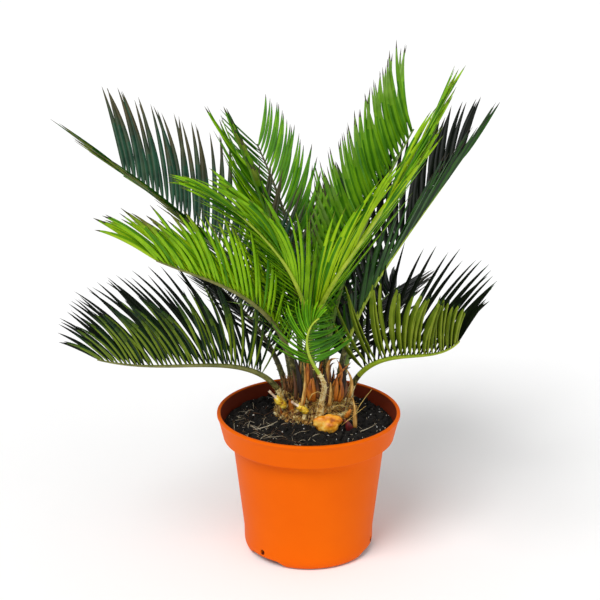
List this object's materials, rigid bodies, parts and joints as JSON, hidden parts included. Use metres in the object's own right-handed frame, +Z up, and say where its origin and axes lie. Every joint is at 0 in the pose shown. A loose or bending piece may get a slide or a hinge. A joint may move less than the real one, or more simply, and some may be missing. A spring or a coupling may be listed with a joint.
{
  "type": "potted sago palm",
  "caption": "Young sago palm with arching feathery fronds on a short scaly stem, standing in a round tapered nursery pot filled with compost.",
  "frame": {"origin": "middle of the pot's flat underside, on the surface it stands on", "axes": "+Z up along the pot's axis, -Y towards the side seen in the picture, +X to the right of that side"},
  "size_m": [0.3041, 0.3219, 0.365],
  "materials": {
    "pot": "satin moulded plastic",
    "soil": "matte crumbly compost",
    "trunk": "matte fibrous",
    "offset_bulb": "satin skin",
    "leaf_stub_left": "matte",
    "leaf_stub_front": "matte",
    "frond_left_high": "satin leaf",
    "frond_left_bright": "satin leaf",
    "frond_front_left": "satin leaf",
    "frond_folded_left": "satin leaf",
    "frond_back_upright": "satin leaf",
    "frond_right_upright": "satin leaf",
    "frond_folded_right": "satin leaf",
    "frond_right_high": "satin leaf",
    "frond_left_low": "satin leaf",
    "frond_right_low": "satin leaf",
    "frond_front_small": "satin leaf",
    "frond_back_left_low": "satin leaf",
    "frond_back_right_low": "satin leaf",
    "frond_back_low": "satin leaf",
    "frond_back_middle": "satin leaf"
  },
  "bodies": {
    "root": {"pot": "pot", "soil": "soil", "trunk": "trunk", "offset_bulb": "offset_bulb", "leaf_stub_left": "leaf_stub_left", "leaf_stub_front": "leaf_stub_front", "frond_left_high": "frond_left_high", "frond_left_bright": "frond_left_bright", "frond_front_left": "frond_front_left", "frond_folded_left": "frond_folded_left", "frond_back_upright": "frond_back_upright", "frond_right_upright": "frond_right_upright", "frond_folded_right": "frond_folded_right", "frond_right_high": "frond_right_high", "frond_left_low": "frond_left_low", "frond_right_low": "frond_right_low", "frond_front_small": "frond_front_small", "frond_back_left_low": "frond_back_left_low", "frond_back_right_low": "frond_back_right_low", "frond_back_low": "frond_back_low", "frond_back_middle": "frond_back_middle"}
  },
  "joints": []
}
